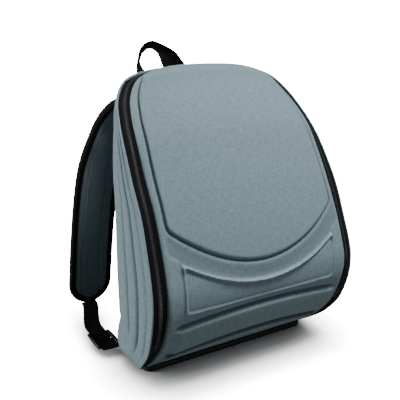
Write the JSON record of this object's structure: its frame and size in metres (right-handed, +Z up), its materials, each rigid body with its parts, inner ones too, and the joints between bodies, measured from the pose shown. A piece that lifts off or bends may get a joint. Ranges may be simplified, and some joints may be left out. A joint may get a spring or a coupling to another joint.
{
  "type": "hard shell backpack",
  "caption": "Hard shell backpack with a moulded front, a zip over the top, padded shoulder straps and a webbing grab handle.",
  "frame": {"origin": "on the underside of the foot, on the middle plane of the bag, 41 mm behind the front edge of the foot", "axes": "+X to the wearer's left, which is the viewer's right in front of the bag, -Y out of the moulded front, +Y towards the wearer's back and the straps, +Z up"},
  "size_m": [0.3432, 0.2954, 0.4291],
  "materials": {
    "shell_cloth": "matte",
    "black_cloth": "matte",
    "pad_cloth": "matte",
    "black_plastic": "satin",
    "black_metal": "painted"
  },
  "bodies": {
    "root": {"front_shell": "shell_cloth", "back_shell": "shell_cloth", "zip_tape_front": "black_cloth", "zip_tape_back": "black_cloth", "zip_chain": "black_plastic", "zip_gusset": "black_cloth", "zip_slider": "black_metal", "zip_pull": "black_metal", "base_foot": "black_cloth", "back_panel": "pad_cloth", "grab_handle": "black_cloth", "strap_pad_left": "pad_cloth", "strap_binding_left": "black_cloth", "strap_webbing_left": "black_cloth", "ladder_lock_left": "black_plastic", "heel_webbing_left": "black_cloth", "strap_pad_right": "pad_cloth", "strap_binding_right": "black_cloth", "strap_webbing_right": "black_cloth", "ladder_lock_right": "black_plastic", "heel_webbing_right": "black_cloth"}
  },
  "joints": []
}
